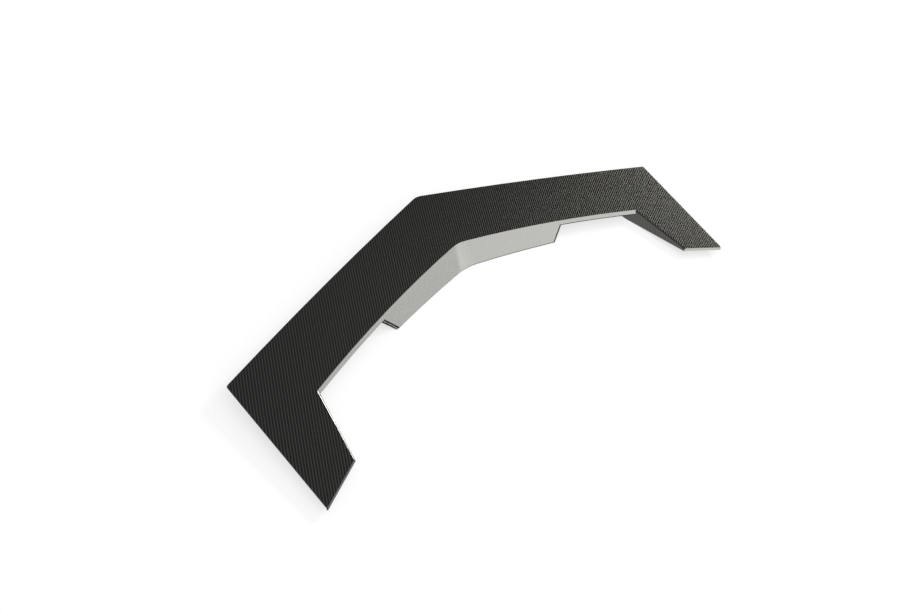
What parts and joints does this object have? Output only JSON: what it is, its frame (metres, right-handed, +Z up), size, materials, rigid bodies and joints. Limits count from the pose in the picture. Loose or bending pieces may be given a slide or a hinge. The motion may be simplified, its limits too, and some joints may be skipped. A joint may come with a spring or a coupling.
{
  "type": "car rear spoiler",
  "caption": "Thin V-shaped shell in clear-coated carbon laminate, bonded across a car's tail as a rear spoiler, with a sloping front lip, a deeper centre flange and a tapering leg at each side.",
  "frame": {"origin": "middle of the part's length and width, on the seat plane that the centre flange and the leg flanks stand on", "axes": "+X along the span, +Y to the rear of the car, +Z up from the seat"},
  "size_m": [1.36, 0.454, 0.0373],
  "materials": {
    "carbon_laminate": "twill-weave carbon fibre under a smooth clear coat"
  },
  "bodies": {
    "root": {"spoiler_shell": "carbon_laminate"}
  },
  "joints": []
}
